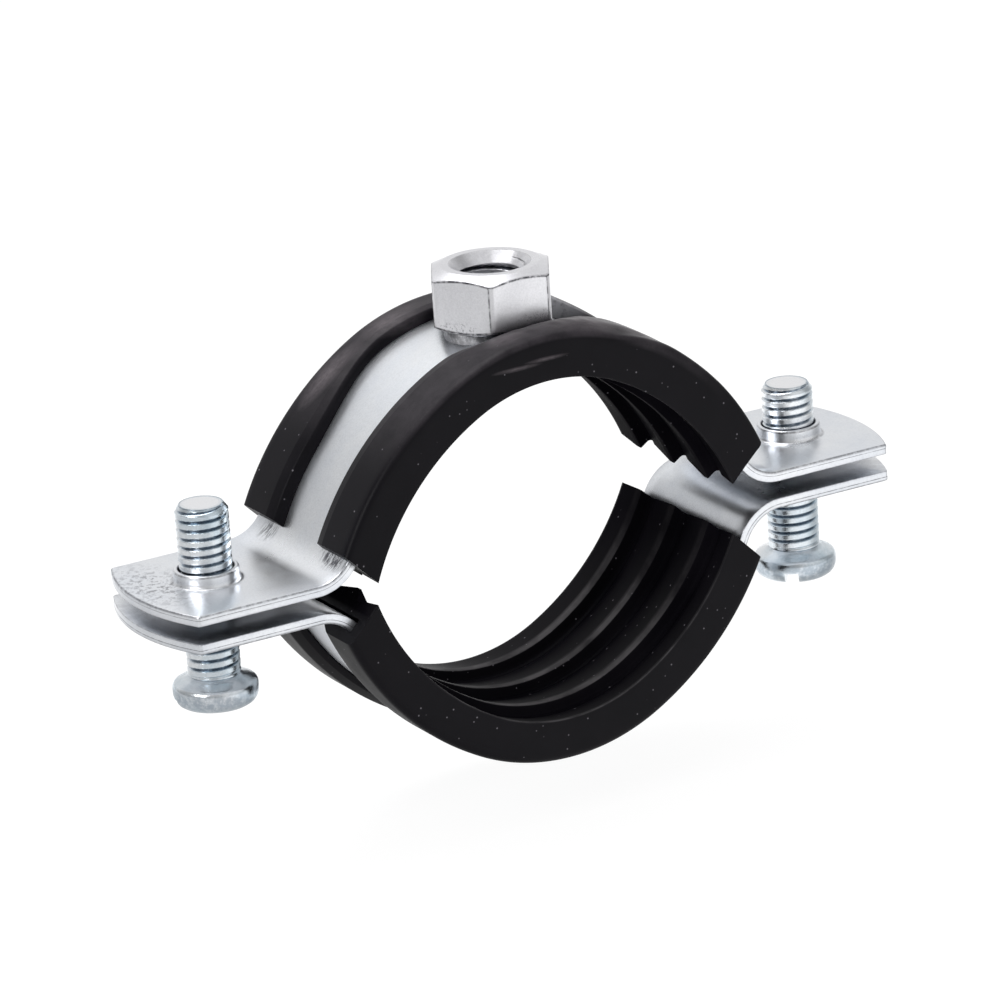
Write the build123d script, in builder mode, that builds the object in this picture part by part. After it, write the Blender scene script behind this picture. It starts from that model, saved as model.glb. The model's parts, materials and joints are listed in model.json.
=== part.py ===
"""Two-piece pipe clamp with a rubber liner, a welded connection nut and two closing screws.

Units are millimetres. X runs along the ears, Y along the pipe and Z up to the nut.
The origin is the middle of the pipe seat.
"""

import os
from math import acos, cos, degrees, radians, sin, sqrt, tan

from build123d import *

# Pipe seat: a round middle stretch, with flatter sides that lead out to the ears
seat_radius = 19.1
seat_half_angle = 28.0
side_radius = 28.8

# Steel band
band_thickness = 1.2
band_width = 20.8
ear_gap = 2.0
bend_radius = 4.8
ear_corner_reach = 6.5
ear_end_bulge = 2.4

# Screws and the holes in the ears
screw_half_spacing = 37.8
thread_radius = 2.95
thread_clearance = 0.05
ear_hole_clearance = 0.35
collar_wall = 0.65
collar_height = 1.5
collar_rim_bevel = 0.3
collar_foot_bevel = 0.3
screw_length = 20.0
screw_chamfer = 0.6
left_screw_tip_height = 11.0
right_screw_tip_height = 8.5
head_radius = 4.75
head_height = 3.2
head_rim_height = 2.5
head_bevel = 0.7
neck_flare = 0.55
slot_width = 1.6
slot_depth = 1.5
left_slot_angle = 165.0
right_slot_angle = 52.0

# Rubber liner
liner_side_wall = 1.6
liner_web = 1.5
rib_height = 1.3
rib_count = 3
rib_pitch = 7.15
rib_land = 0.9
rib_flank = 0.5
rib_cove = 1.7
rib_offset = -0.25
rim_set_back = 0.6
rim_bevel = 0.3
lip_height = 1.5
lip_gap = 10.0
lip_tip_slope = 0.8
lip_bevel = 0.6
groove_clearance = 0.05
liner_end_slope = 45.0
liner_end_height = 5.85

# How far each liner has slid round in its band, down at the left end and up at the right one
upper_liner_slip = 0.55
lower_liner_slip = 1.1

# Room that the lips leave around the nut, close in front of it and wider behind it
front_relief_clearance = 0.2
front_relief_length = 10.4
front_relief_run = 6.0
back_relief_clearance = 1.5
back_relief_length = 20.0
back_relief_run = 10.0

# Connection nut
nut_across_flats = 13.0
nut_height = 7.0
nut_bore_radius = 3.4
nut_mouth_growth = 1.1
nut_mouth_depth = 1.2
nut_chamfer_angle = 30.0
nut_face_inset = 0.7
nut_collar_wall = 1.1
nut_stand_off = 0.5

# Radii, heights and lengths worked out from the sizes above
band_radius = seat_radius + rib_height + liner_web
band_side_radius = side_radius + rib_height + liner_web
bend_outer_radius = bend_radius + band_thickness
band_top = band_radius + band_thickness
lip_top = band_top + lip_height
ear_face = ear_gap / 2
ear_top = ear_face + band_thickness
ear_corner = screw_half_spacing + ear_corner_reach
ear_tip = ear_corner + ear_end_bulge
liner_width = band_width + 2 * liner_side_wall

# The side arc's centre lies on the line through the origin and the end of the round stretch
centre_shift = side_radius - seat_radius
side_centre_x = -centre_shift * sin(radians(seat_half_angle))
side_centre_z = -centre_shift * cos(radians(seat_half_angle))

# The bend touches the side arc from outside and the ear's face from above
bend_centre_z = ear_face + bend_outer_radius
centre_distance = band_side_radius + bend_outer_radius
side_end_angle = degrees(acos((bend_centre_z - side_centre_z) / centre_distance))
bend_centre_x = side_centre_x + centre_distance * sin(radians(side_end_angle))


def outline_point(centre, radius, angle):
    """A point on a circle in the XZ plane, with the angle measured from +Z towards +X."""
    return centre[0] + radius * sin(radians(angle)), centre[1] + radius * cos(radians(angle))


def strip_outline(rise, ear_end):
    """One line of the band's outline, rise mm outside its pipe side, from the crown to the right ear's end."""
    origin = (0.0, 0.0)
    side_centre = (side_centre_x, side_centre_z)
    bend_centre = (bend_centre_x, bend_centre_z)
    crown = outline_point(origin, band_radius + rise, 0)
    crown_middle = outline_point(origin, band_radius + rise, seat_half_angle / 2)
    seat_end = outline_point(origin, band_radius + rise, seat_half_angle)
    side_middle_angle = (seat_half_angle + side_end_angle) / 2
    side_middle = outline_point(side_centre, band_side_radius + rise, side_middle_angle)
    side_end = outline_point(side_centre, band_side_radius + rise, side_end_angle)
    bend_middle = outline_point(bend_centre, bend_outer_radius - rise, 180 + side_end_angle / 2)
    bend_end = outline_point(bend_centre, bend_outer_radius - rise, 180)
    ThreePointArc(crown, crown_middle, seat_end)
    ThreePointArc(seat_end, side_middle, side_end)
    ThreePointArc(side_end, bend_middle, bend_end)
    Line(bend_end, (ear_end, ear_face + rise))


def strip_profile(low, high, ear_end):
    """The closed outline between two lines of the band, both ears included."""
    strip_outline(low, ear_end)
    strip_outline(high, ear_end)
    Line((ear_end, ear_face + low), (ear_end, ear_face + high))
    mirror(about=Plane.YZ)


def band_blank():
    """The bent strip with its curved ear ends, before its holes are made."""
    corner_y = band_width / 2
    with BuildPart() as blank:
        with BuildSketch(Plane.XZ):
            with BuildLine():
                strip_profile(0, band_thickness, ear_tip)
            make_face()
        extrude(amount=band_width / 2, both=True)
        with BuildSketch(Plane.XY):
            with BuildLine():
                ThreePointArc((ear_corner, -corner_y), (ear_tip, 0), (ear_corner, corner_y))
                Line((ear_corner, corner_y), (0, corner_y))
                Line((ear_corner, -corner_y), (0, -corner_y))
                mirror(about=Plane.YZ)
            make_face()
        extrude(amount=2 * band_top, both=True, mode=Mode.INTERSECT)
    return blank.part


def screw_places():
    """The two screw axes, left and right."""
    return Locations((-screw_half_spacing, 0), (screw_half_spacing, 0))


collar_bore_radius = thread_radius + thread_clearance
collar_radius = collar_bore_radius + collar_wall
collar_top = ear_top + collar_height
strip = band_blank()

with BuildPart() as upper_band:
    add(strip)
    with BuildSketch(Plane.XY.offset(ear_top)):
        with screw_places():
            Circle(collar_radius)
    extrude(amount=collar_height)
    round_edges = upper_band.edges().filter_by(GeomType.CIRCLE)
    rims = round_edges.filter_by_position(Axis.Z, collar_top, collar_top)
    chamfer(rims, collar_rim_bevel)
    round_edges = upper_band.edges().filter_by(GeomType.CIRCLE)
    feet = round_edges.filter_by_position(Axis.Z, ear_top, ear_top).sort_by(SortBy.RADIUS)[:2]
    chamfer(feet, collar_foot_bevel)
    with BuildSketch(Plane.XY.offset(ear_face)):
        with screw_places():
            Circle(collar_bore_radius)
    extrude(amount=band_thickness + collar_height, mode=Mode.SUBTRACT)
upper_band.part.label = "upper_band"

with BuildPart() as lower_band:
    add(strip)
    with BuildSketch(Plane.XY.offset(ear_face)):
        with screw_places():
            Circle(thread_radius + ear_hole_clearance)
    extrude(amount=band_thickness, mode=Mode.SUBTRACT)
    mirror(about=Plane.XY, mode=Mode.REPLACE)
lower_band.part.label = "lower_band"


def liner_section():
    """The rubber profile, drawn with its distance from the seat's axis along local X and the pipe's axis along Y.

    It is a flat bar with saw-toothed ribs towards the pipe and an open slot between its two lips.
    """
    half_width = liner_width / 2
    valley = seat_radius + rib_height
    rim = seat_radius + rim_set_back
    slot_floor = band_radius + band_thickness / 2
    lip_foot = lip_gap / 2 - lip_tip_slope
    points = [(lip_top, -half_width), (rim, -half_width)]
    for index in range(rib_count):
        front = rib_offset + (index - (rib_count - 1) / 2) * rib_pitch
        points.append((valley, front - rib_cove))
        points.append((valley, front - rib_flank))
        points.append((seat_radius, front))
        points.append((seat_radius, front + rib_land))
    points.append((rim, half_width))
    points.append((lip_top, half_width))
    points.append((lip_top, lip_gap / 2))
    points.append((slot_floor, lip_foot))
    points.append((slot_floor, -lip_foot))
    points.append((lip_top, -lip_gap / 2))
    Polyline(*points, close=True)


def liner_sector(axis, start_angle, sweep):
    """A stretch of the rubber profile turned about an axis that runs along the pipe."""
    turn = radians(start_angle)
    radial = (sin(turn), 0, cos(turn))
    section_plane = Plane(origin=(0, 0, 0), x_dir=radial, z_dir=(-cos(turn), 0, sin(turn)))
    with BuildPart() as sector:
        with BuildSketch(section_plane) as section:
            with BuildLine():
                liner_section()
            make_face()
            columns = section.vertices().group_by(Axis.Y)
            chamfer([column.sort_by(Axis.X)[-1] for column in (columns[0], columns[-1])], lip_bevel)
            columns = section.vertices().group_by(Axis.Y)
            chamfer([column.sort_by(Axis.X)[0] for column in (columns[0], columns[-1])], rim_bevel)
        revolve(axis=axis, revolution_arc=sweep)
    return sector.part


def strip_prism(low, high, width):
    """The space between two lines of the band's outline, over a width along the pipe."""
    with BuildPart() as prism:
        with BuildSketch(Plane.XZ):
            with BuildLine():
                strip_profile(low, high, ear_corner)
            make_face()
        extrude(amount=width / 2, both=True)
    return prism.part


def cut_height(end_height):
    """Where the slanted cut at one end crosses the middle, when it meets the lips' top at end_height."""
    lip_side_radius = side_radius + lip_top - seat_radius
    end_x = side_centre_x + sqrt(lip_side_radius**2 - (end_height - side_centre_z) ** 2)
    return end_height - end_x * tan(radians(liner_end_slope))


def liner_blank(slip):
    """The rubber profile bent over one band half, its ends cut at a slant where the ears begin.

    The left end lies slip mm lower than the middle height and the right end as much higher.
    """
    seat_axis = Axis((0, 0, 0), (0, -1, 0))
    side_axis = Axis((side_centre_x, 0, side_centre_z), (0, 1, 0))
    middle_stretch = liner_sector(seat_axis, seat_half_angle, 2 * seat_half_angle)
    right_stretch = liner_sector(side_axis, seat_half_angle, 90 - seat_half_angle)
    groove_width = band_width + 2 * groove_clearance
    groove = strip_prism(-groove_clearance, band_thickness + groove_clearance, groove_width)

    slope = tan(radians(liner_end_slope))
    left_apex = cut_height(liner_end_height - slip)
    right_apex = cut_height(liner_end_height + slip)
    meeting_x = (left_apex - right_apex) / 2 / slope
    meeting_z = (left_apex + right_apex) / 2
    far = 2 * lip_top
    with BuildPart() as blank:
        add(right_stretch)
        mirror(about=Plane.YZ)
        add(middle_stretch)
        with BuildSketch(Plane.XZ):
            Polygon(
                (meeting_x, meeting_z),
                (far, right_apex + far * slope),
                (-far, left_apex + far * slope),
                align=None,
            )
        extrude(amount=liner_width, both=True, mode=Mode.INTERSECT)
        add(groove, mode=Mode.SUBTRACT)
    return blank.part


def nut_relief():
    """The room between the lips that widens towards the nut."""
    half_gap = lip_gap / 2
    front = -nut_across_flats / 2 - front_relief_clearance
    front_end = front_relief_length / 2
    back = nut_across_flats / 2 + back_relief_clearance
    back_end = back_relief_length / 2
    layer_top = band_thickness + 2 * lip_height
    layer = strip_prism(band_thickness / 2, layer_top, liner_width)
    with BuildPart() as relief:
        with BuildSketch(Plane.XY):
            with BuildLine():
                Polyline(
                    (0, back),
                    (back_end, back),
                    (back_end + back_relief_run, half_gap),
                    (back_end + back_relief_run, 0),
                    (front_end + front_relief_run, 0),
                    (front_end + front_relief_run, -half_gap),
                    (front_end, front),
                    (0, front),
                )
                mirror(about=Plane.YZ)
            make_face()
        extrude(amount=2 * lip_top)
        add(layer, mode=Mode.INTERSECT)
    return relief.part


with BuildPart() as upper_liner:
    add(liner_blank(upper_liner_slip))
    add(nut_relief(), mode=Mode.SUBTRACT)
upper_liner.part.label = "upper_liner"

with BuildPart() as lower_liner:
    add(liner_blank(lower_liner_slip))
    mirror(about=Plane.XY, mode=Mode.REPLACE)
lower_liner.part.label = "lower_liner"


nut_bottom = band_top + nut_stand_off
nut_top = nut_bottom + nut_height
nut_mouth_radius = nut_bore_radius + nut_mouth_growth
nut_face_radius = nut_across_flats / 2 - nut_face_inset
nut_corner_radius = nut_across_flats / 2 / cos(radians(30))
nut_chamfer_drop = (nut_corner_radius - nut_face_radius) * tan(radians(nut_chamfer_angle))

with BuildPart() as connection_nut:
    with BuildSketch(Plane.XY.offset(nut_bottom)):
        RegularPolygon(nut_corner_radius, 6)
    extrude(amount=nut_height)
    with BuildSketch(Plane.XZ):
        Polygon(
            (0, nut_bottom),
            (nut_face_radius, nut_bottom),
            (nut_corner_radius, nut_bottom + nut_chamfer_drop),
            (nut_corner_radius, nut_top - nut_chamfer_drop),
            (nut_face_radius, nut_top),
            (0, nut_top),
            align=None,
        )
    revolve(axis=Axis.Z, mode=Mode.INTERSECT)
    with BuildSketch(Plane.XY.offset(nut_bottom)):
        Circle(nut_mouth_radius + nut_collar_wall)
    extrude(amount=seat_radius - nut_bottom)
    with BuildSketch(Plane.XZ):
        Circle(band_top)
    extrude(amount=nut_across_flats, both=True, mode=Mode.SUBTRACT)
    with BuildSketch(Plane.XZ):
        Polygon(
            (0, nut_top),
            (nut_mouth_radius, nut_top),
            (nut_bore_radius, nut_top - nut_mouth_depth),
            (nut_bore_radius, nut_bottom + nut_mouth_depth),
            (nut_mouth_radius, nut_bottom),
            (nut_mouth_radius, seat_radius),
            (0, seat_radius),
            align=None,
        )
    revolve(axis=Axis.Z, mode=Mode.SUBTRACT)
connection_nut.part.label = "connection_nut"


def screw_profile(centre_x, tip_height):
    """Half of the screw's outline, beside its axis at centre_x, with the head below."""
    bearing = tip_height - screw_length
    head_bottom = bearing - head_height
    rim_top = head_bottom + head_rim_height
    neck_radius = thread_radius + neck_flare
    Polyline(
        (centre_x, head_bottom),
        (centre_x + head_radius, head_bottom),
        (centre_x + head_radius, rim_top),
        (centre_x + neck_radius, bearing),
        (centre_x + thread_radius, bearing + neck_flare),
        (centre_x + thread_radius, tip_height - screw_chamfer),
        (centre_x + thread_radius - screw_chamfer, tip_height),
        (centre_x, tip_height),
        close=True,
    )


screw_drop = screw_length + head_height
slot_length = 2 * head_radius + slot_width
screw_settings = (
    ("screw_left", -screw_half_spacing, left_screw_tip_height, left_slot_angle),
    ("screw_right", screw_half_spacing, right_screw_tip_height, right_slot_angle),
)
screws = []

for name, centre_x, tip_height, slot_angle in screw_settings:
    with BuildPart() as screw:
        with BuildSketch(Plane.XZ) as profile:
            with BuildLine():
                screw_profile(centre_x, tip_height)
            make_face()
            rim_corner = profile.vertices().group_by(Axis.X)[-1].sort_by(Axis.Y)[0]
            chamfer(rim_corner, head_bevel)
        revolve(axis=Axis((centre_x, 0, 0), (0, 0, 1)))
        with BuildSketch(Plane.XY.offset(tip_height - screw_drop)):
            with Locations((centre_x, 0)):
                Rectangle(slot_length, slot_width, rotation=slot_angle)
        extrude(amount=slot_depth, mode=Mode.SUBTRACT)
    screw.part.label = name
    screws.append(screw)


os.makedirs("parts", exist_ok=True)
for piece in (upper_band, lower_band, connection_nut, upper_liner, lower_liner, *screws):
    export_step(piece.part, f"parts/{piece.part.label}.step")
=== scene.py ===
"""The looks of a rubber-lined pipe clamp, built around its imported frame.

Sizes are in millimetres in the row's own frame, and each mesh is scaled to metres when it is made.
X runs along the ears, Y along the pipe towards the back and Z up to the nut.
"""

import json
from math import acos, atan, ceil, cos, degrees, floor, hypot, pi, radians, sin, sqrt, tan

import bmesh
import bpy
from mathutils import Matrix, Vector, noise


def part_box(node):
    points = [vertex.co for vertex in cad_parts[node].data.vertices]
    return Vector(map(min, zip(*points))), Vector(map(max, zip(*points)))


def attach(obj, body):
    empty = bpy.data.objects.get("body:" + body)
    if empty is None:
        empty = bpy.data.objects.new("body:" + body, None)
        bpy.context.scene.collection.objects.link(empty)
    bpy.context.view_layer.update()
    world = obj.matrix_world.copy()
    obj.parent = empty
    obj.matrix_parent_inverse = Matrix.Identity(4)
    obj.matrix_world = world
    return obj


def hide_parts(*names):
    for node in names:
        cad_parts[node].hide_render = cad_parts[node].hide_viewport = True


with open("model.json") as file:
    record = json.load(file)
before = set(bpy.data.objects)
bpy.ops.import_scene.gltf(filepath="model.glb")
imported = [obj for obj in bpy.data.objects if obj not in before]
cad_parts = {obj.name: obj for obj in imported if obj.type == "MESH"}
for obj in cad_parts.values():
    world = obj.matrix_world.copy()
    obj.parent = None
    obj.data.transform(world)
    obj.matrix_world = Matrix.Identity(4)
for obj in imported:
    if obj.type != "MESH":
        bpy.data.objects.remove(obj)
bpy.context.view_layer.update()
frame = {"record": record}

MM = 0.001
TURN = 2 * pi


def box_mm(node):
    """The lowest and highest corner of a node, in millimetres."""
    low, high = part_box(node)
    return low / MM, high / MM


# Sizes read from the frame
mounts = {mount["name"]: mount for mount in frame["record"]["mounts"]}
seat_radius = mounts["pipe_seat"]["dims"]["r_mm"]
nut_bore_radius = mounts["rod_thread"]["dims"]["r_mm"]
band_half_width = box_mm("upper_band")[1].y
ear_tip = box_mm("upper_band")[1].x
liner_half_width = box_mm("upper_liner")[1].y
nut_top = box_mm("connection_nut")[1].z
screw_half_spacing = (box_mm("screw_right")[0].x + box_mm("screw_right")[1].x) / 2
head_radius = (box_mm("screw_right")[1].x - box_mm("screw_right")[0].x) / 2

# Pipe seat and band
seat_half_angle = 28.0
side_radius = 28.8
rib_height = 1.3
liner_web = 1.5
band_thickness = 1.2
ear_gap = 2.0
bend_radius = 4.8
ear_corner = 44.3
ear_corner_rounding = 0.5

band_radius = seat_radius + rib_height + liner_web
band_side_radius = side_radius + rib_height + liner_web
bend_outer_radius = bend_radius + band_thickness
band_top = band_radius + band_thickness
ear_face = ear_gap / 2
ear_top = ear_face + band_thickness
centre_shift = side_radius - seat_radius
side_centre = (-centre_shift * sin(radians(seat_half_angle)), -centre_shift * cos(radians(seat_half_angle)))
bend_centre_z = ear_face + bend_outer_radius
centre_distance = band_side_radius + bend_outer_radius
side_end_angle = degrees(acos((bend_centre_z - side_centre[1]) / centre_distance))
bend_centre = (side_centre[0] + centre_distance * sin(radians(side_end_angle)), bend_centre_z)

# Screws
thread_radius = 2.95
thread_pitch = 1.0
thread_depth = 0.5
collar_bore_radius = 3.05
collar_radius = 3.65
collar_height = 1.5
ear_hole_radius = 3.3
head_height = 3.2
slot_width = 1.6
slot_depth = 1.5
left_slot_angle = 165.0
right_slot_angle = 52.0
screw_columns = 64
thread_row_height = 0.045
plain_neck = 0.5
thread_run_in = 0.9
tip_inset = 0.52
tip_slope = 0.75

# Liner
rib_count = 3
rib_pitch = 7.15
rib_offset = -0.25
rib_land = 0.9
# A rib's corners from front to back as (distance outside the seat, distance behind its front edge, rounding)
rib_corners = (
    (0.95, -1.75, 0.14),
    (rib_height, -1.0, 0.9),
    (1.1, -0.35, 0.5),
    (0.0, 0.0, 0.16),
    (0.02, rib_land, 1.2),
)
rim_inset = 0.55
rim_rounding = 0.22
lip_height = 1.5
lip_gap = 10.0
lip_shoulder = 1.4
lip_rounding = 0.9
lip_tip_slope = 0.55
lip_tip_rounding = 0.3
lip_foot_rounding = 0.12
upper_lip_tip = 1.25
lower_lip_tip = 0.75
groove_side_gap = 0.05
groove_face_gap = 0.03
liner_end_slope = 45.0
liner_end_height = 5.85
upper_liner_slip = 0.55
lower_liner_slip = 1.1
lip_top = band_top + lip_height

# How the nut moves the upper liner's lips
back_tip_push = 2.9
front_tip_gap = 0.12
front_lip_swell = 0.42
front_lip_ripple = 0.1
back_lip_lift = 0.8
front_lip_lift = 0.9

# Nut
nut_across_flats = 13.0
nut_height = 7.0
nut_face_radius = 5.55
nut_mouth_radius = 4.5
nut_mouth_depth = 1.2
nut_collar_radius = 5.6
nut_thread_pitch = 1.25
nut_thread_depth = 0.6
nut_bore_rows = 150
nut_corner_radius = nut_across_flats / 2 / cos(pi / 6)
nut_corner_rounding = 0.18
nut_bottom = nut_top - nut_height
nut_chamfer_slope = tan(radians(24))


def fade(value, zero_at, one_at):
    """A smooth change from 0 at one number to 1 at the other, which may be the smaller one."""
    share = min(max((value - zero_at) / (one_at - zero_at), 0.0), 1.0)
    return share * share * (3 - 2 * share)


def make_piece(name, points, faces, marks=None, sharp_angle=40.0):
    """A mesh object from points in millimetres, with doubles merged and its faces turned outwards.

    The marks are one number for each point, which the finish reads for dark edge lines, painted shade in
    grooves and holes, dust and painted highlights.
    """
    mesh = bpy.data.meshes.new(name)
    mesh.from_pydata([Vector(point) * MM for point in points], [], faces)
    mark = mesh.attributes.new("mark", "FLOAT", "POINT")
    mark.data.foreach_set("value", marks or [0.0] * len(points))
    work = bmesh.new()
    work.from_mesh(mesh)
    bmesh.ops.remove_doubles(work, verts=work.verts, dist=0.0005 * MM)
    bmesh.ops.recalc_face_normals(work, faces=work.faces)
    work.to_mesh(mesh)
    work.free()
    mesh.shade_smooth()
    mesh.set_sharp_from_angle(angle=radians(sharp_angle))
    piece = bpy.data.objects.new(name, mesh)
    bpy.context.scene.collection.objects.link(piece)
    return piece


def stand_for(piece, node, body, material):
    """The piece takes the node's place, rides on its body and takes its finish."""
    piece.data.materials.clear()
    piece.data.materials.append(material)
    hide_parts(node)
    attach(piece, body)


def grid(rows, columns, start=0, wrap=False):
    """The faces of a grid whose points are stored row by row; wrap joins the last column to the first."""
    faces = []
    for row in range(rows - 1):
        for column in range(columns if wrap else columns - 1):
            beside = (column + 1) % columns
            a = start + row * columns
            b = a + columns
            faces.append((a + column, a + beside, b + beside, b + column))
    return faces


def rounded(corners, steps=4, spacing=1.0):
    """A closed outline through corners (a, b, radius), each rounded, with long runs divided."""
    outline = []
    count = len(corners)
    for index in range(count):
        corner = Vector(corners[index][:2])
        radius = corners[index][2]
        before = Vector(corners[index - 1][:2]) - corner
        after = Vector(corners[(index + 1) % count][:2]) - corner
        if radius <= 0:
            outline.append(corner)
            continue
        half = before.angle(after) / 2
        reach = min(radius / tan(half), 0.45 * before.length, 0.45 * after.length)
        first = corner + before.normalized() * reach
        last = corner + after.normalized() * reach
        for step in range(steps + 1):
            share = step / steps
            low = first.lerp(corner, share)
            high = corner.lerp(last, share)
            outline.append(low.lerp(high, share))
    divided = []
    for index, point in enumerate(outline):
        following = outline[(index + 1) % len(outline)]
        parts = max(1, ceil((following - point).length / spacing))
        for part in range(parts):
            divided.append(tuple(point.lerp(following, part / parts)))
    return divided


# The band: a strip over the pipe and two ears


def outline_point(centre, radius, angle):
    """A point on a circle in the XZ plane, with the angle in degrees from +Z towards +X."""
    return centre[0] + radius * sin(radians(angle)), centre[1] + radius * cos(radians(angle))


def band_stations():
    """The stations of the strip's right half, from the crown to the ear, as (stretch, angle)."""
    stations = [("seat", seat_half_angle * step / 28) for step in range(28)]
    side_span = side_end_angle - seat_half_angle
    stations += [("side", seat_half_angle + side_span * step / 40) for step in range(40)]
    stations += [("bend", side_end_angle * (1 - step / 24)) for step in range(25)]
    return stations


def band_point(station, rise):
    """Where a station's point lies that is rise mm outside the band's pipe side."""
    stretch, angle = station
    if stretch == "seat":
        return outline_point((0, 0), band_radius + rise, angle)
    if stretch == "side":
        return outline_point(side_centre, band_side_radius + rise, angle)
    return outline_point(bend_centre, bend_outer_radius - rise, 180 + angle)


# A sheared edge from its rounded side to its burred side, as (inset, depth below the outer face, mark)
sheared_edge = (
    (0.26, 0.0, 0.0), (0.17, 0.015, 0.35), (0.09, 0.06, 0.7), (0.03, 0.14, 0.5), (0.0, 0.25, 0.1),
    (0.0, 0.44, 0.0), (0.02, 0.5, 0.9), (0.035, 0.56, 0.0), (0.035, 0.85, 0.0), (0.03, 1.08, 0.1),
    (0.05, 1.16, 0.7), (0.12, 1.2, 0.2),
)
strip_columns = 13


def strip_ring():
    """The strip's section as a closed ring of (y, rise, mark)."""
    top_half = band_half_width - sheared_edge[0][0]
    bottom_half = band_half_width - sheared_edge[-1][0]
    ring = []
    for column in range(strip_columns):
        ring.append((-top_half + 2 * top_half * column / (strip_columns - 1), band_thickness, 0.0))
    for inset, depth, mark in sheared_edge[1:-1]:
        ring.append((band_half_width - inset, band_thickness - depth, mark))
    for column in range(strip_columns):
        ring.append((bottom_half - 2 * bottom_half * column / (strip_columns - 1), 0.0, 0.0))
    for inset, depth, mark in reversed(sheared_edge[1:-1]):
        ring.append((-band_half_width + inset, band_thickness - depth, mark))
    return ring


def ear_outline():
    """The right ear's outline in plan, from the back of its bend round its end to the front.

    Each point is (x, y, normal x, normal y).
    """
    start_x = bend_centre[0]
    rise = ear_tip - ear_corner
    end_radius = (band_half_width**2 + rise**2) / (2 * rise)
    end_centre = ear_tip - end_radius
    # The corner arc touches the side line and the end arc from inside
    corner_y = band_half_width - ear_corner_rounding
    corner_x = end_centre + sqrt((end_radius - ear_corner_rounding) ** 2 - corner_y**2)
    end_half_angle = degrees(acos((corner_x - end_centre) / (end_radius - ear_corner_rounding)))
    outline = []
    for step in range(16):
        outline.append((start_x + (corner_x - start_x) * step / 16, band_half_width, 0.0, 1.0))
    for step in range(6):
        angle = radians(90 - (90 - end_half_angle) * step / 6)
        x = corner_x + ear_corner_rounding * cos(angle)
        outline.append((x, corner_y + ear_corner_rounding * sin(angle), cos(angle), sin(angle)))
    for step in range(13):
        angle = radians(end_half_angle * (1 - step / 12))
        x = end_centre + end_radius * cos(angle)
        outline.append((x, end_radius * sin(angle), cos(angle), sin(angle)))
    front = [(x, -y, normal_x, -normal_y) for x, y, normal_x, normal_y in reversed(outline[:-1])]
    return outline + front


def ear_loop(inset, outline):
    """A closed loop in plan: the outline moved inwards, then the bend's line from front to back."""
    loop = [(x - normal_x * inset, y - normal_y * inset) for x, y, normal_x, normal_y in outline]
    half = band_half_width - inset
    for column in range(1, strip_columns - 1):
        loop.append((bend_centre[0], -half + 2 * half * column / (strip_columns - 1)))
    return loop


def towards_hole(x, y, radius, share):
    """A point between a circle round the screw, at share 0, and the point (x, y), at share 1."""
    reach = hypot(x - screw_half_spacing, y)
    scale = (radius + share * (reach - radius)) / reach
    return screw_half_spacing + (x - screw_half_spacing) * scale, y * scale


def ear_mesh(hole_profile):
    """Points, faces and marks of the right ear; hole_profile runs from the outer face to the inner one."""
    outline = ear_outline()
    top_loop = ear_loop(sheared_edge[0][0], outline)
    bottom_loop = ear_loop(sheared_edge[-1][0], outline)
    count = len(top_loop)
    shares = (0.0, 0.08, 0.25, 0.55, 1.0)
    ear_faces = (
        (top_loop, hole_profile[0][0], ear_top),
        (bottom_loop, hole_profile[-1][0], ear_face),
    )
    points = []
    faces = []
    marks = []
    for loop, radius, z in ear_faces:
        start = len(points)
        for share in shares:
            for x, y in loop:
                points.append((*towards_hole(x, y, radius, share), z))
                marks.append(0.0)
        faces += grid(len(shares), count, start, wrap=True)
    start = len(points)
    for inset, depth, mark in sheared_edge:
        for x, y, normal_x, normal_y in outline:
            points.append((x - normal_x * inset, y - normal_y * inset, ear_top - depth))
            marks.append(mark)
    faces += grid(len(sheared_edge), len(outline), start)
    start = len(points)
    for radius, z, mark in hole_profile:
        for x, y in top_loop:
            points.append((*towards_hole(x, y, radius, 0.0), z))
            marks.append(mark)
    faces += grid(len(hole_profile), count, start, wrap=True)
    return points, faces, marks


def band_mesh(hole_profile, up=1):
    """Points, faces and marks of a whole band half; up is -1 for the lower half."""
    ring = strip_ring()
    right = band_stations()
    stations = [(-1, station) for station in reversed(right[1:])] + [(1, station) for station in right]
    points = []
    marks = []
    for side, station in stations:
        for y, rise, mark in ring:
            x, z = band_point(station, rise)
            points.append((side * x, y, z))
            marks.append(mark)
    faces = grid(len(stations), len(ring), wrap=True)
    ear_points, ear_faces, ear_marks = ear_mesh(hole_profile)
    for side in (-1, 1):
        start = len(points)
        points += [(side * x, y, z) for x, y, z in ear_points]
        faces += [tuple(start + index for index in face) for face in ear_faces]
        marks += ear_marks
    return [(x, y, up * z) for x, y, z in points], faces, marks


collar_top = ear_top + collar_height
# Rings of the collar and of the plain hole as (radius, z, mark); a mark inside a hole or at the collar's
# foot is painted shade
collar_profile = (
    (collar_radius + 0.5, ear_top, 0.0), (collar_radius + 0.27, ear_top + 0.04, 0.5),
    (collar_radius + 0.12, ear_top + 0.14, 0.3), (collar_radius + 0.03, ear_top + 0.32, 0.0),
    (collar_radius, ear_top + 0.6, 0.0), (collar_radius, collar_top - 0.32, 0.0),
    (collar_radius - 0.03, collar_top - 0.17, 0.7), (collar_radius - 0.1, collar_top - 0.05, 0.3),
    (collar_radius - 0.2, collar_top, 0.0), (collar_bore_radius + 0.16, collar_top, 0.0),
    (collar_bore_radius + 0.06, collar_top - 0.06, 0.6), (collar_bore_radius, collar_top - 0.2, 1.0),
    (collar_bore_radius, ear_face + 0.5, 1.0), (collar_bore_radius + 0.15, ear_face + 0.15, 0.5),
    (collar_bore_radius + 0.5, ear_face, 0.0),
)
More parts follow.
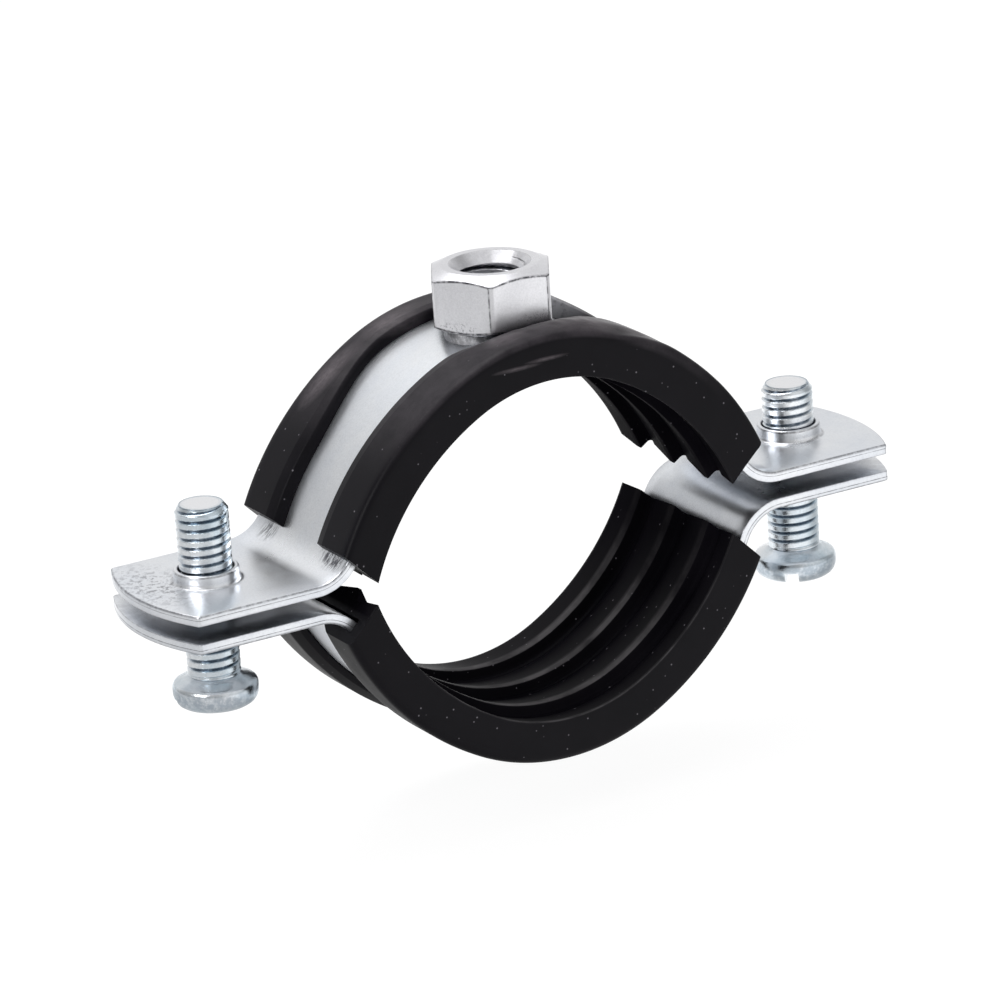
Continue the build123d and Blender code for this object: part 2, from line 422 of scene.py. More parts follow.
plain_hole_profile = (
    (ear_hole_radius + 0.12, ear_top, 0.0), (ear_hole_radius + 0.03, ear_top - 0.04, 0.6),
    (ear_hole_radius, ear_top - 0.12, 0.8), (ear_hole_radius, ear_face + 0.12, 0.8),
    (ear_hole_radius + 0.03, ear_face + 0.03, 0.6), (ear_hole_radius + 0.1, ear_face, 0.0),
)


# The liner: one rubber profile bent over each band half


def liner_profile(tip_height):
    """The closed section of the liner as (distance from the seat's axis, y).

    The lips thin from their shoulders to their tips.
    """
    half = liner_half_width
    rim = seat_radius + rim_inset
    groove_half = band_half_width + groove_side_gap
    lip_under = band_top + groove_face_gap
    web_top = band_radius - groove_face_gap
    lip_tip = lip_gap / 2
    lip_foot = lip_tip - lip_tip_slope
    tip_top = band_top + tip_height
    shoulder = lip_tip + lip_shoulder
    corners = [
        (tip_top, -lip_tip, lip_tip_rounding),
        (lip_top, -shoulder, lip_rounding),
        (lip_top, -half, lip_rounding),
        (rim, -half, rim_rounding),
    ]
    for index in range(rib_count):
        front = rib_offset + (index - (rib_count - 1) / 2) * rib_pitch
        for outside, behind, rounding in rib_corners:
            corners.append((seat_radius + outside, front + behind, rounding))
    corners += [
        (rim, half, rim_rounding),
        (lip_top, half, lip_rounding),
        (lip_top, shoulder, lip_rounding),
        (tip_top, lip_tip, lip_tip_rounding),
        (lip_under, lip_foot, lip_foot_rounding),
        (lip_under, groove_half, 0.0),
        (web_top, groove_half, 0.0),
        (web_top, -groove_half, 0.0),
        (lip_under, -groove_half, 0.0),
        (lip_under, -lip_foot, lip_foot_rounding),
    ]
    return rounded(corners, steps=5, spacing=0.7)


def liner_end_angle(radius, end_height):
    """The angle at which the slanted end cut meets a side arc.

    The arc passes radius mm from the seat's axis at the crown.
    """
    slope = tan(radians(liner_end_slope))
    lip_arc = side_radius + lip_top - seat_radius
    end_x = side_centre[0] + sqrt(lip_arc**2 - (end_height - side_centre[1]) ** 2)
    apex = end_height - end_x * slope
    arc = radius + centre_shift
    reach = (apex + slope * side_centre[0] - side_centre[1]) / (arc * hypot(1, slope))
    return degrees(acos(reach)) - degrees(atan(slope))


def press_lips(x, radius, y):
    """How the nut presses the upper liner's lips away: the new (radius, y) of a point of the profile."""
    if radius <= band_top:
        return radius, y
    half = liner_half_width
    tip = lip_gap / 2
    share = (half - abs(y)) / (half - tip)
    swell = fade(radius, band_top, lip_top)
    # To the right of the nut both lips stand a little off the band
    lifted = fade(x, -2, 11) * fade(x, 36, 21) * swell
    if y > 0:
        new_tip = tip + fade(abs(x), 21.5, 10) * back_tip_push
        return radius + back_lip_lift * lifted, half - share * (half - new_tip)
    push = fade(abs(x), 9.5, 4)
    new_tip = tip + push * (nut_across_flats / 2 + front_tip_gap - tip)
    arch = sin(pi * min(max(share, 0.0), 1.0)) ** 0.7
    radius += front_lip_swell * push * swell * arch
    radius += front_lip_lift * lifted * max(fade(share, 0, 0.4), fade(x, 7, 16))
    ripple = noise.noise(Vector((x * 0.9, y * 2.6, 3.7)))
    radius += front_lip_ripple * fade(abs(x - 2.5), 8.5, 4.5) * swell * arch * ripple
    return radius, share * (half - new_tip) - half


def rib_mark(radius, y):
    """How far a point of the profile lies on a rib's tip or on the front rim, from 0 to 1."""
    tip = fade(radius, seat_radius + 0.08, seat_radius + 0.01)
    rim = fade(radius, seat_radius + 0.75, seat_radius + 0.6)
    front = fade(-y, liner_half_width - 0.2, liner_half_width - 0.05)
    return max(tip, rim * front)


def liner_stations():
    """The places along a liner half from its left end to its right.

    Each is (side, stretch, share of the stretch).
    """
    steps = 30
    side_steps = 38
    right = [("seat", step / steps) for step in range(steps)]
    right += [("side", step / side_steps) for step in range(side_steps + 1)]
    left = [(-1, stretch, share) for stretch, share in reversed(right[1:])]
    return left + [(1, stretch, share) for stretch, share in right]


def liner_mesh(pressed, slip, up=1):
    """Points, faces and marks of one liner half.

    A pressed liner makes room for the nut and carries dust and a painted highlight on top.
    """
    profile = liner_profile(upper_lip_tip if pressed else lower_lip_tip)
    stations = liner_stations()
    points = []
    marks = []
    for side, stretch, share in stations:
        for radius, y in profile:
            if stretch == "seat":
                angle = seat_half_angle * share
                middle = (0.0, 0.0)
                extra = 0.0
            else:
                end_angle = liner_end_angle(radius, liner_end_height + side * slip)
                angle = seat_half_angle + share * (end_angle - seat_half_angle)
                middle = side_centre
                extra = centre_shift
            if pressed:
                x = side * (middle[0] + (radius + extra) * sin(radians(angle)))
                radius, y = press_lips(x, radius, y)
            x, z = outline_point(middle, radius + extra, angle)
            points.append((side * x, y, up * z))
            # Dust and a painted highlight on the pressed lips' tops, given as marks below zero
            dust_and_highlight_mark = fade(radius, lip_top - 0.6, lip_top - 0.2) * fade(z, 12, 21) if pressed else 0.0
            marks.append(rib_mark(radius, y) - dust_and_highlight_mark)
    count = len(profile)
    faces = grid(len(stations), count, wrap=True)
    faces.append(tuple(range(count)))
    last = (len(stations) - 1) * count
    faces.append(tuple(reversed(range(last, last + count))))
    return points, faces, marks


# Turned shapes: the nut and the screws


def turned_mesh(rows, angles, centre_x=0.0):
    """Points, faces and marks round an upright axis, from rows of (radius, z, mark), one for each angle."""
    points = []
    marks = []
    for row in rows:
        for (radius, z, mark), angle in zip(row, angles):
            points.append((centre_x + radius * cos(angle), radius * sin(angle), z))
            marks.append(mark)
    return points, grid(len(rows), len(angles), wrap=True), marks


def thread_wave(turns):
    """The thread's profile over one pitch: 0 at the root of its groove and 1 on its wide rolled crest."""
    phase = turns - floor(turns)
    ramp = 1 - abs(2 * phase - 1)
    return fade(ramp, 0.02, 0.48)


# The nut


def hexagon_radius(angle):
    """Distance from the axis to the hexagon's side, with flats that face along Y."""
    turned = (degrees(angle) % 60) - 30
    return nut_across_flats / 2 / cos(radians(turned))


def nut_columns():
    """The angles of the nut's columns, closer together near its corners."""
    offsets = (0, 1.0, 2.0, 3.2, 6, 10, 15, 20, 25, 30, 35, 40, 45, 50, 54, 56.8, 58.0, 59.0)
    return [radians(60 * side + offset) for side in range(6) for offset in offsets]


def corner_mark(angle):
    """1 just beside the nut's corners, on one side of each, and 0 elsewhere."""
    offset = (degrees(angle) + 30) % 60 - 30
    return 1.0 if -2.5 < offset < -1.5 else 0.0


# Rows down the nut's flats as (share of the flat's height, mark), with a dark line at the top and the foot
flat_rows = (
    (0.012, 1.0), (0.028, 0.9), (0.05, 0.0), (0.2, 0.0), (0.4, 0.0), (0.6, 0.0), (0.8, 0.0), (0.95, 0.0),
    (0.972, 0.9), (0.988, 1.0),
)


def nut_outside(angles):
    """The nut's rows from its mouth over its flats to the weld collar's foot."""
    corner_limit = nut_corner_radius - nut_corner_rounding
    sides = [min(hexagon_radius(angle), corner_limit) for angle in angles]
    rows = []
    for share in (0.0, 0.06, 0.14, 0.4, 0.7, 0.93, 1.0):
        radius = nut_mouth_radius + share * (nut_face_radius - nut_mouth_radius)
        mark = 0.5 if share == 0.06 else 0.0
        rows.append([(radius, nut_top, mark)] * len(angles))
    for share in (0.15, 0.5, 0.85, 1.0):
        mark = 0.5 if share == 1.0 else 0.0
        row = []
        for side in sides:
            reach = share * (side - nut_face_radius)
            row.append((nut_face_radius + reach, nut_top - reach * nut_chamfer_slope, mark))
        rows.append(row)
    for share, mark in flat_rows:
        row = []
        for side, angle in zip(sides, angles):
            drop = (side - nut_face_radius) * nut_chamfer_slope
            z = nut_top - drop - share * (nut_height - 2 * drop)
            row.append((side, z, max(mark, corner_mark(angle))))
        rows.append(row)
    # The lower chamfer and the weld collar below the hex get marks: painted shade under the nut
    for share in (1.0, 0.85, 0.5, 0.15, 0.0):
        row = []
        for side in sides:
            reach = share * (side - nut_face_radius)
            row.append((nut_face_radius + reach, nut_bottom + reach * nut_chamfer_slope, 0.4))
        rows.append(row)
    rows.append([(nut_collar_radius, nut_bottom, 0.7)] * len(angles))
    for radius in (nut_collar_radius, nut_mouth_radius):
        rows.append([(radius, sqrt(band_top**2 - (radius * cos(angle)) ** 2), 0.45) for angle in angles])
    return rows


def nut_bore(angles):
    """The rows of the nut's threaded bore from its foot to its mouth."""
    rows = []
    for step in range(nut_bore_rows + 1):
        z = nut_bottom + nut_height * step / nut_bore_rows
        depth = min(z - nut_bottom, nut_top - z)
        cone = nut_mouth_radius - depth * (nut_mouth_radius - nut_bore_radius) / nut_mouth_depth
        row = []
        for angle in angles:
            groove = 1 - thread_wave(z / nut_thread_pitch - angle / TURN)
            thread = nut_bore_radius + nut_thread_depth * groove
            # The groove's mark paints shade into the thread
            row.append((max(cone, thread), z, 0.8 * groove if cone < thread else 0.1))
        rows.append(row)
    return rows


def nut_mesh():
    """Points, faces and marks of the connection nut with its weld collar and its thread."""
    angles = nut_columns()
    return turned_mesh(nut_outside(angles) + nut_bore(angles), angles)


# The screws

# The head from its middle below to the shank as (radius, rise, mark)
head_profile = (
    (0.0, 0.0, 0.0), (head_radius - 2.0, 0.02, 0.0), (head_radius - 1.25, 0.1, 0.0),
    (head_radius - 0.8, 0.26, 0.1), (head_radius - 0.42, 0.52, 0.3), (head_radius - 0.17, 0.88, 0.5),
    (head_radius - 0.04, 1.3, 0.6), (head_radius, 1.75, 0.6), (head_radius, 2.15, 0.5),
    (head_radius - 0.04, 2.42, 0.3), (head_radius - 0.14, 2.64, 0.0), (head_radius - 0.32, 2.8, 0.0),
    (head_radius - 0.62, 2.9, 0.0), (thread_radius + 0.85, head_height - 0.1, 0.0),
    (thread_radius + 0.4, head_height + 0.02, 0.0), (thread_radius + 0.12, head_height + 0.2, 0.2),
    (thread_radius - 0.12, head_height + 0.42, 0.4),
)
tip_radius = thread_radius - tip_inset
# The tip's flat end from its edge to its middle as (radius, rise, mark); a mark below zero is a painted
# highlight
tip_profile = (
    (tip_radius - 0.08, -0.01, 0.8), (tip_radius - 0.2, -0.03, -0.4), (tip_radius - 0.6, -0.01, -0.9),
    (0.0, 0.0, -0.9),
)


def screw_mesh(centre_x, tip, head_bottom):
    """Points, faces and marks of a slotted screw without its slot, its head below."""
    angles = [TURN * column / screw_columns for column in range(screw_columns)]
    rows = [[(radius, head_bottom + rise, mark)] * screw_columns for radius, rise, mark in head_profile]
    bearing = head_bottom + head_height
    start = bearing + plain_neck
    length = tip - start
    count = int(length / thread_row_height)
    for step in range(count + 1):
        z = start + length * step / count
        grown = fade(z, start, start + thread_run_in)
        edge = 0.8 * fade(z, tip - 0.14, tip - 0.04)
        chamfer = tip_radius + (tip - z) * tip_slope
        row = []
        for angle in angles:
            groove = 1 - thread_wave((z - tip) / thread_pitch - angle / TURN)
            radius = min(thread_radius - thread_depth * groove * grown, chamfer)
            # The groove's mark paints shade into the thread; the tip's edge gets a dark line
            row.append((radius, z, max(grown * groove**2, edge)))
        rows.append(row)
    rows += [[(radius, tip + rise, mark)] * screw_columns for radius, rise, mark in tip_profile]
    return turned_mesh(rows, angles, centre_x)


def cut_slot(screw, centre_x, head_bottom, angle):
    """Cuts the screwdriver slot into the head with a box."""
    bpy.ops.mesh.primitive_cube_add(size=MM)
    cutter = bpy.context.active_object
    cutter.scale = (3 * head_radius, slot_width, 2 * slot_depth)
    cutter.location = Vector((centre_x, 0, head_bottom)) * MM
    cutter.rotation_euler = (0, 0, radians(angle))
    modifier = screw.modifiers.new("slot", "BOOLEAN")
    modifier.operation = "DIFFERENCE"
    modifier.solver = "EXACT"
    modifier.object = cutter
    bpy.context.view_layer.update()
    graph = bpy.context.evaluated_depsgraph_get()
    mesh = bpy.data.meshes.new_from_object(screw.evaluated_get(graph))
    screw.modifiers.clear()
    screw.data = mesh
    bpy.data.objects.remove(cutter)
    mesh.shade_smooth()
    mesh.set_sharp_from_angle(angle=radians(40))


# Materials


class Nodes:
    """A short way to build a node tree."""

    def __init__(self, tree):
        self.tree = tree

    def put(self, socket, value):
        """Links a socket to another node's output, or sets its value."""
        if isinstance(value, bpy.types.NodeSocket):
            self.tree.links.new(value, socket)
        elif socket.type == "RGBA":
            socket.default_value = (*value, 1)
        else:
            socket.default_value = value

    def add(self, kind, inputs=None, **settings):
        """A new node with its settings, and with its inputs linked or set."""
        node = self.tree.nodes.new(kind)
        for name, value in settings.items():
            setattr(node, name, value)
        for name, value in (inputs or {}).items():
            self.put(node.inputs[name], value)
        return node

    def own(self):
        """The object's own coordinates in metres."""
        return self.add("ShaderNodeTexCoord").outputs["Object"]

    def place(self, scale=(1, 1, 1)):
        """The object's own coordinates in millimetres, stretched by scale."""
        stretch = tuple(1 / MM * factor for factor in scale)
        return self.add("ShaderNodeMapping", {"Vector": self.own(), "Scale": stretch}).outputs["Vector"]

    def mark(self):
        """The mesh's marks."""
        return self.add("ShaderNodeAttribute", attribute_name="mark").outputs["Fac"]

    def noise(self, place, scale, detail=3.0, roughness=0.5):
        """Soft noise with features about 1 / scale mm wide."""
        inputs = {"Vector": place, "Scale": scale, "Detail": detail, "Roughness": roughness}
        return self.add("ShaderNodeTexNoise", inputs).outputs["Fac"]

    def ramp(self, value, stops):
        """A colour ramp through (position, grey or colour) stops."""
        node = self.add("ShaderNodeValToRGB", {"Fac": value})
        elements = node.color_ramp.elements
        while len(elements) < len(stops):
            elements.new(0.5)
        for element, (position, colour) in zip(elements, stops):
            rgb = (colour,) * 3 if isinstance(colour, float) else colour
            element.position = position
            element.color = (*rgb, 1)
        return node.outputs["Color"]

    def span(self, value, start, end, low, high, smooth=True):
        """A number that goes from low to high while value goes from start to end."""
        inputs = {"Value": value, "From Min": start, "From Max": end, "To Min": low, "To Max": high}
        kind = "SMOOTHSTEP" if smooth else "LINEAR"
        return self.add("ShaderNodeMapRange", inputs, interpolation_type=kind).outputs["Result"]

    def math(self, operation, first, second):
        """The sum, product or the like of two numbers."""
        return self.add("ShaderNodeMath", {0: first, 1: second}, operation=operation).outputs["Value"]

    def vector(self, operation, first, second=None):
        """The sum, product or the like of vectors; a length or a dot product is a number."""
        inputs = {0: first} if second is None else {0: first, 1: second}
        node = self.add("ShaderNodeVectorMath", inputs, operation=operation)
        return node.outputs["Value" if operation in ("LENGTH", "DOT_PRODUCT") else "Vector"]

    def mix(self, factor, first, second, blend="MIX"):
        """Two colours mixed by a factor."""
        inputs = {"Factor": factor, "A": first, "B": second}
        return self.add("ShaderNodeMix", inputs, data_type="RGBA", blend_type=blend).outputs["Result"]

    def bump(self, height, distance, normal=None):
        """A normal with bumps up to distance mm high, on top of another normal."""
        inputs = {"Height": height, "Distance": distance * MM}
        if normal is not None:
            inputs["Normal"] = normal
        return self.add("ShaderNodeBump", inputs).outputs["Normal"]

    def shade(self, **values):
        """Links or sets the main shader's sockets; a name's underscores stand for spaces."""
        shader = self.tree.nodes["Principled BSDF"]
        for name, value in values.items():
            self.put(shader.inputs[name.replace("_", " ")], value)


def new_material(name):
    """A material and its node tree."""
    material = bpy.data.materials.new(name)
    material.use_nodes = True
    return material, Nodes(material.node_tree)


def painted_gap_shade(nodes, depth, reach):
    """A number that rises from 0 in the open to depth in gaps and corners, where shade is painted."""
    shade = nodes.add("ShaderNodeAmbientOcclusion", {"Distance": reach * MM}, samples=6)
    return nodes.span(shade.outputs["AO"], 0.26, 0.56, depth, 0.0)


pit_grey = (0.26, 0.27, 0.30)
wear_and_shade_grey = (0.14, 0.14, 0.16)
tip_highlight_white = (0.95, 0.95, 0.97)
gap_shade_blue = (0.012, 0.017, 0.04)


def zinc(name, dark, light, rough, edge_line_and_shade_colour, gap_reach, gap_shade, bumps=1.0, wear_and_shade=None):
    """Zinc plating: nearly even in colour, a little satin, dark along marked edges, with painted shade in
    grooves, holes and gaps.

    A mark below zero is a painted highlight, which makes the screw tips' flat ends nearly white.
    """
    material, nodes = new_material(name)
    place = nodes.place()
    cloud = nodes.noise(place, 0.09, detail=3.0, roughness=0.55)
    mottle = nodes.noise(place, 0.9, detail=4.0, roughness=0.6)
    fine = nodes.noise(place, 9.0, detail=2.0)
    blend = nodes.math("ADD", nodes.math("MULTIPLY", cloud, 0.8), nodes.math("MULTIPLY", mottle, 0.2))
    colour = nodes.ramp(blend, ((0.38, dark), (0.6, light)))
    grain = nodes.ramp(nodes.noise(place, 4.5, detail=4.0, roughness=0.8), ((0.35, 0.88), (0.6, 1.0)))
    colour = nodes.mix(1.0, colour, grain, blend="MULTIPLY")
    pits = nodes.ramp(nodes.noise(place, 2.6, detail=6.0, roughness=0.85), ((0.62, 0.0), (0.7, 0.6)))
    colour = nodes.mix(pits, colour, pit_grey)
    gloss = nodes.ramp(blend, ((0.35, rough + 0.05), (0.65, rough - 0.04)))
    # Wear, and on the nut painted shade at its foot, turns the colour grey
    if wear_and_shade is not None:
        worn_and_shaded = wear_and_shade(nodes)
        colour = nodes.mix(worn_and_shaded, colour, wear_and_shade_grey)
        gloss = nodes.mix(worn_and_shaded, gloss, (0.5, 0.5, 0.5))
    mark = nodes.mark()
    uneven = nodes.ramp(nodes.noise(place, 1.6, detail=5.0, roughness=0.7), ((0.38, 0.35), (0.55, 1.0)))
    # Marks darken the surface: dark lines along edges, and painted shade in grooves, holes and under the nut
    colour = nodes.mix(nodes.math("MULTIPLY", mark, uneven), colour, edge_line_and_shade_colour)
    # Painted highlight: marks below zero, on the screw tips' flat ends, turn nearly white
    tip_highlight = nodes.math("MAXIMUM", nodes.math("MULTIPLY", mark, -1.0), 0.0)
    colour = nodes.mix(tip_highlight, colour, tip_highlight_white)
    # Painted shade: gaps and corners that the ambient occlusion finds turn dark blue
    colour = nodes.mix(painted_gap_shade(nodes, gap_shade, gap_reach), colour, gap_shade_blue)
    surface = nodes.bump(cloud, 0.08)
    surface = nodes.bump(mottle, 0.008 * bumps, surface)
    surface = nodes.bump(fine, 0.003 * bumps, surface)
    nodes.shade(Base_Color=colour, Roughness=gloss, Normal=surface, Metallic=1.0)
    return material


def patch(nodes, centre, size, soft=False):
    """1 in the middle of an ellipsoid in the object's own coordinates, 0 outside it."""
    apart = nodes.vector("SUBTRACT", nodes.own(), tuple(value * MM for value in centre))
    scaled = nodes.vector("DIVIDE", apart, tuple(value * MM for value in size))
    return nodes.ramp(nodes.vector("LENGTH", scaled), ((0.1 if soft else 0.55, 1.0), (1.0, 0.0)))


def sheet_wear(nodes):
    """Grey flakes on the left ear's end and rubbed streaks where the bends leave the liner."""
    flakes = nodes.noise(nodes.place(), 1.3, detail=9.0, roughness=0.78)
    flakes = nodes.ramp(flakes, ((0.51, 0.0), (0.555, 0.8)))
    flaked = nodes.math("MULTIPLY", flakes, patch(nodes, (-43.4, 1.5, 2.2), (5.2, 10.4, 0.9), soft=True))
    streaks = nodes.noise(nodes.place(scale=(0.6, 3.2, 0.6)), 1.0, detail=4.0, roughness=0.7)
    streaks = nodes.ramp(streaks, ((0.46, 0.0), (0.54, 0.95)))
    front = patch(nodes, (-25.9, -7.6, 4.4), (2.0, 3.4, 2.4))
    back = patch(nodes, (-27.0, 6.6, 4.6), (1.6, 2.4, 2.4))
    streaked = nodes.math("MULTIPLY", streaks, nodes.math("MAXIMUM", front, back))
    return nodes.math("MAXIMUM", flaked, streaked)


def nut_grime_and_shade(nodes):
    """Speckled grime along the foot of the nut's flats, and painted shade at the left flat's foot."""
    specks = nodes.noise(nodes.place(), 3.4, detail=7.0, roughness=0.78)
    specks = nodes.ramp(specks, ((0.53, 0.0), (0.59, 0.6)))
    # The left foot's specks are painted shade under the nut; the right foot's are grime
    left_foot = patch(nodes, (-6.8, -3.0, 24.3), (3.4, 3.4, 1.6))
    right_foot = patch(nodes, (3.0, -6.5, 25.4), (4.2, 1.0, 0.8))
    return nodes.math("MULTIPLY", specks, nodes.math("MAXIMUM", left_foot, right_foot))


rubber_dark = (0.0034, 0.0030, 0.0046)
rubber_light = (0.0070, 0.0062, 0.0084)
speck_grey = (0.18, 0.17, 0.19)
rib_highlight_grey = (0.1, 0.095, 0.1)
dust_and_highlight_grey = (0.034, 0.030, 0.035)
scuff_and_highlight_grey = (0.12, 0.105, 0.115)
# Painted highlight: a near-white patch on the back lip beside the nut
back_lip_highlight_grey = (0.36, 0.36, 0.38)
back_lip_highlight_place = ((12.0, 7.0, 22.7), (10.5, 4.4, 3.8))
# Where the rubber is rubbed grey or painted with a highlight, as (centre, half lengths): painted highlights
# on the front lip by the nut and on the front face, where the nut swells the lip, and scuffs on the back lip
scuff_and_highlight_places = (
    ((-3.4, -9.0, 24.5), (3.4, 2.2, 1.3)),
    ((6.0, -8.8, 24.3), (8.5, 3.4, 2.0)),
    ((14.0, -9.0, 21.4), (8.0, 3.2, 3.4)),
    ((-4.2, -12.0, 21.9), (3.4, 0.5, 0.32)),
    ((-0.4, -12.0, 22.3), (3.0, 0.5, 0.3)),
    ((-16.0, 9.5, 18.6), (9.0, 2.0, 4.0)),
    ((-8.0, 9.5, 23.2), (6.0, 2.6, 2.0)),
)
# The space inside the liners, as half its width, its depth and its height
pipe_space = (25.5, 11.8, 22.0)


def dust_specks(nodes, place):
    """Fine round specks in some cells of a cell pattern."""
    cells = nodes.add("ShaderNodeTexVoronoi", {"Vector": place, "Scale": 1.0, "Randomness": 1.0})
    speck = nodes.ramp(cells.outputs["Distance"], ((0.05, 1.0), (0.13, 0.0)))
    chosen = nodes.ramp(cells.outputs["Color"], ((0.6, 0.0), (0.65, 1.0)))
    return nodes.math("MULTIPLY", speck, chosen)


def pipe_side(nodes):
    """1 on the liners' sides towards the pipe, 0 on their lips and faces."""
    own = nodes.own()
    half_x, half_y, half_z = pipe_space
    reach = nodes.vector("LENGTH", nodes.vector("MULTIPLY", own, (1 / MM / half_x, 0.0, 1 / MM / half_z)))
    width = nodes.vector("LENGTH", nodes.vector("MULTIPLY", own, (0.0, 1 / MM / half_y, 0.0)))
    around = nodes.ramp(reach, ((0.96, 1.0), (0.985, 0.0)))
    return nodes.math("MULTIPLY", around, nodes.ramp(width, ((0.98, 1.0), (1.0, 0.0))))


def scuffs_and_highlights(nodes):
    """How strongly the rubber is rubbed grey or painted with a highlight, with streaks that follow the rim.
    """
    places = None
    for centre, size in scuff_and_highlight_places:
        spot = patch(nodes, centre, size, soft=True)
        places = spot if places is None else nodes.math("MAXIMUM", places, spot)
    streaks = nodes.noise(nodes.place(scale=(0.6, 1.6, 1.6)), 1.4, detail=5.0, roughness=0.7)
    return nodes.math("MULTIPLY", places, nodes.ramp(streaks, ((0.3, 0.35), (0.7, 1.0))))


def rubber(name):
    """Black moulded rubber: satin, with a fine skin, painted highlights on the ribs and lips, scuffs and
    specks of dust.

    A mark below zero is a lip top with dust and a painted highlight. The back lip has a painted highlight
    beside the nut.
    """
    material, nodes = new_material(name)
    place = nodes.place()
    bloom = nodes.noise(place, 0.12, detail=4.0, roughness=0.6)
    skin = nodes.noise(place, 6.0, detail=4.0, roughness=0.6)
    colour = nodes.ramp(bloom, ((0.35, rubber_dark), (0.7, rubber_light)))
    colour = nodes.mix(dust_specks(nodes, place), colour, speck_grey)
    mark = nodes.mark()
    uneven = nodes.ramp(nodes.noise(place, 0.25, detail=3.0), ((0.34, 0.3), (0.62, 1.0)))
    height = nodes.add("ShaderNodeSeparateXYZ", {"Vector": place}).outputs["Z"]
    low = nodes.span(height, -16.0, -5.0, 1.0, 0.12)
    # Painted highlight: rib tips and the front rim turn grey, most low in the seat, which the light reaches
    # from above
    colour = nodes.mix(nodes.math("MULTIPLY", nodes.math("MULTIPLY", mark, uneven), low), colour, rib_highlight_grey)
    dust_and_highlight = nodes.ramp(nodes.noise(place, 0.35, detail=5.0, roughness=0.7), ((0.35, 0.45), (0.65, 1.0)))
    top = nodes.math("MAXIMUM", nodes.math("MULTIPLY", mark, -1.0), 0.0)
    # Dust and a painted highlight lighten the lip tops
    colour = nodes.mix(nodes.math("MULTIPLY", top, dust_and_highlight), colour, dust_and_highlight_grey)
    # Painted highlights by the nut and scuffs on the back lip turn the rubber grey
    colour = nodes.mix(scuffs_and_highlights(nodes), colour, scuff_and_highlight_grey)
    # Painted highlight on the back lip beside the nut
    highlight_streaks = nodes.ramp(nodes.noise(place, 1.1, detail=5.0, roughness=0.7), ((0.36, 0.6), (0.5, 1.0)))
    back_lip_highlight = nodes.math("MULTIPLY", highlight_streaks, patch(nodes, *back_lip_highlight_place, soft=True))
    colour = nodes.mix(back_lip_highlight, colour, back_lip_highlight_grey)
    gloss = nodes.ramp(bloom, ((0.3, 0.36), (0.7, 0.5)))
    # Inside, only the ribs low in the seat shine
    shine = nodes.span(pipe_side(nodes), 0.0, 1.0, 0.1, nodes.math("MULTIPLY", low, 0.015), smooth=False)
    nodes.shade(Base_Color=colour, Roughness=gloss, Normal=nodes.bump(skin, 0.008))
    nodes.shade(Sheen_Weight=nodes.math("MULTIPLY", top, 0.25), Sheen_Roughness=0.25)
    nodes.shade(Specular_IOR_Level=shine)
    return material


sheet_zinc = zinc(
    "sheet_zinc",
    dark=(0.80, 0.83, 0.88),
    light=(0.90, 0.92, 0.95),
    rough=0.31,
    edge_line_and_shade_colour=(0.07, 0.07, 0.09),
    gap_reach=3.0,
    gap_shade=1.0,
    wear_and_shade=sheet_wear,
)
nut_zinc = zinc(
    "nut_zinc",
    dark=(0.78, 0.78, 0.81),
    light=(0.88, 0.88, 0.91),
    rough=0.3,
    edge_line_and_shade_colour=(0.02, 0.02, 0.03),
    gap_reach=1.6,
    gap_shade=0.7,
    bumps=2.0,
    wear_and_shade=nut_grime_and_shade,
)
screw_zinc = zinc(
    "screw_zinc",
    dark=(0.56, 0.66, 0.73),
    light=(0.88, 0.91, 0.94),
    rough=0.22,
    edge_line_and_shade_colour=(0.24, 0.30, 0.37),
    gap_reach=0.9,
    gap_shade=0.25,
    bumps=2.5,
)
liner_rubber = rubber("liner_rubber")


# Pieces

upper_band = make_piece("upper_band_piece", *band_mesh(collar_profile))
stand_for(upper_band, "upper_band", "upper_half", sheet_zinc)

lower_band = make_piece("lower_band_piece", *band_mesh(plain_hole_profile, up=-1))
stand_for(lower_band, "lower_band", "lower_half", sheet_zinc)

upper_liner = make_piece("upper_liner_piece", *liner_mesh(pressed=True, slip=upper_liner_slip))
stand_for(upper_liner, "upper_liner", "upper_half", liner_rubber)

lower_liner = make_piece("lower_liner_piece", *liner_mesh(pressed=False, slip=lower_liner_slip, up=-1))
stand_for(lower_liner, "lower_liner", "lower_half", liner_rubber)

nut = make_piece("connection_nut_piece", *nut_mesh(), sharp_angle=24.0)
stand_for(nut, "connection_nut", "upper_half", nut_zinc)

for side, angle in (("left", left_slot_angle), ("right", right_slot_angle)):
    low, high = box_mm(f"screw_{side}")
    centre_x = (low.x + high.x) / 2
    screw = make_piece(f"screw_{side}_piece", *screw_mesh(centre_x, high.z, low.z))
    cut_slot(screw, centre_x, low.z, angle)
    stand_for(screw, f"screw_{side}", f"{side}_screw", screw_zinc)


# Stage: a white floor that keeps a faint shadow, soft lamps and a white surround

floor_half_width = 1500.0
floor_gap = 0.3
floor_brightness = 0.9
floor_matt = (0.8, 0.8, 0.8)
floor_shadow = (0.16, 0.16, 0.16)
studio_grey = (0.8, 0.8, 0.8)
# Directions on the horizon and how much darker the studio is there, as (x, y, narrowness, loss)
studio_shades = (
    (-1.0, 0.05, 0.5, 0.5),
    (-0.49, -0.87, 0.85, 0.4),
    (0.99, -0.1, 0.85, 0.5),
    (-0.65, 0.76, 0.9, 0.3),
)


def studio_level(nodes, direction):
    """How bright the studio is in a horizontal direction: white, with softly darker sides."""
    level_ground = nodes.vector("MULTIPLY", direction, (1, 1, 0))
    unit = nodes.vector("NORMALIZE", level_ground)
    level = None
    for x, y, narrowness, loss in studio_shades:
        along = nodes.vector("DOT_PRODUCT", unit, (x, y, 0))
        shade = nodes.span(along, narrowness, 1.0, 1.0, 1.0 - loss)
        level = shade if level is None else nodes.math("MULTIPLY", level, shade)
    return level


